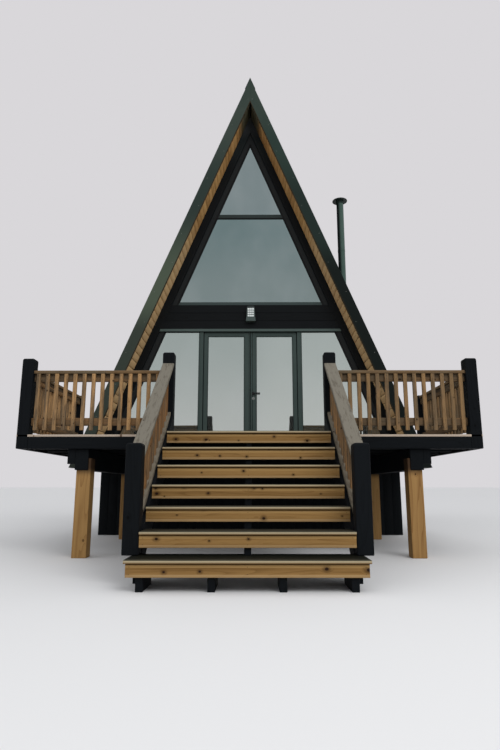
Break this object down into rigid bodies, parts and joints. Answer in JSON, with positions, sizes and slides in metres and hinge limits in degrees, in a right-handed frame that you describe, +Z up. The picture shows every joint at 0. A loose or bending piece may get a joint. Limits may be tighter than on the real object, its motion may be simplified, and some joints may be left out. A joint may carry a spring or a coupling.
{
  "type": "a-frame cabin",
  "caption": "A-frame timber cabin on posts with glazed gables, hinged French doors, a front deck with railings and a flight of open steps.",
  "frame": {"origin": "middle of the whole footprint, on the ground", "axes": "+X to the cabin's right as seen from the front, +Y from the steps towards the rear gable, +Z up"},
  "size_m": [5.9908, 12.518, 8.4718],
  "materials": {
    "roof_metal": "satin",
    "pine_lining": "matte",
    "black_wall": "matte",
    "frame_metal": "satin",
    "pane": "gloss",
    "handle_metal": "satin",
    "floor_boards": "matte",
    "stained_timber": "matte",
    "deck_pine": "matte",
    "step_pine": "matte",
    "weathered_pine": "matte",
    "lamp_metal": "satin",
    "lamp_pane": "satin",
    "flue_metal": "satin"
  },
  "bodies": {
    "cabin": {"roof_left": "roof_metal", "roof_right": "roof_metal", "ridge_cap": "roof_metal", "bargeboards_left": "roof_metal", "bargeboards_right": "roof_metal", "roof_lining_left": "pine_lining", "roof_lining_right": "pine_lining", "gable_wall_left": "black_wall", "gable_wall_right": "black_wall", "gable_bands": "black_wall", "rear_panel": "black_wall", "front_skirt": "black_wall", "loft_windows": "frame_metal", "sidelight_frames": "frame_metal", "door_frame": "frame_metal", "hinge_pins": "frame_metal", "loft_glass": "pane", "sidelight_glass": "pane", "cabin_floor": "floor_boards", "loft_floor": "floor_boards", "floor_beams": "stained_timber", "cabin_posts": "stained_timber", "edge_beams": "stained_timber", "deck_joists": "stained_timber", "deck_girders": "stained_timber", "girder_cleats": "stained_timber", "rail_posts": "stained_timber", "newels": "stained_timber", "stair_cheeks": "stained_timber", "middle_string": "stained_timber", "step_bearers": "stained_timber", "deck_boards": "deck_pine", "deck_posts": "deck_pine", "cap_rails": "deck_pine", "front_balusters": "deck_pine", "side_balusters": "deck_pine", "stair_balusters": "deck_pine", "stair_treads": "step_pine", "riser_boards": "step_pine", "handrails": "weathered_pine", "wall_lamp": "lamp_metal", "lamp_glass": "lamp_pane", "flue_pipe": "flue_metal", "flue_cap": "flue_metal", "flue_flashing": "flue_metal"},
    "left_door": {"door_leaf_left": "frame_metal", "door_glass_left": "pane", "hinge_barrels_left": "frame_metal"},
    "right_door": {"door_leaf_right": "frame_metal", "door_glass_right": "pane", "door_handle": "handle_metal", "hinge_barrels_right": "frame_metal"}
  },
  "joints": [
    {"name": "left_door_hinge", "type": "hinge", "parent": "cabin", "child": "left_door", "pos_m": [-0.869, -1.041, 2.4], "axis": [0, 0, 1], "range_deg": [0, 100]},
    {"name": "right_door_hinge", "type": "hinge", "parent": "cabin", "child": "right_door", "pos_m": [0.869, -1.041, 2.4], "axis": [0, 0, -1], "range_deg": [0, 100]}
  ]
}
